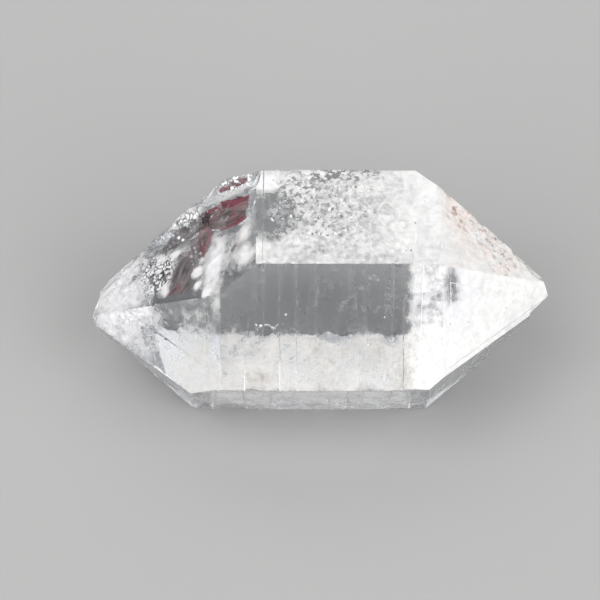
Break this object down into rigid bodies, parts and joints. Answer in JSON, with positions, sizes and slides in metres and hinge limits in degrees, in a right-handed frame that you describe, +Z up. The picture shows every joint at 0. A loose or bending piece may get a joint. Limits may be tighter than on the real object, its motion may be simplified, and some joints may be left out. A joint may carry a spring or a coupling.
{
  "type": "double terminated quartz crystal",
  "caption": "Small clear quartz crystal with a six-sided prism and a point at both ends, frosted on its upper faces and lying on a flat prism face.",
  "frame": {"origin": "on the resting face, under the middle of the bounding box", "axes": "+X along the c-axis towards the right point, +Y towards the back, +Z up out of the surface it lies on"},
  "size_m": [0.0302, 0.0172, 0.0146],
  "materials": {
    "quartz": "natural crystal faces, clear in places and frosted or milky in others, IOR 1.544"
  },
  "bodies": {
    "root": {"crystal": "quartz"}
  },
  "joints": []
}
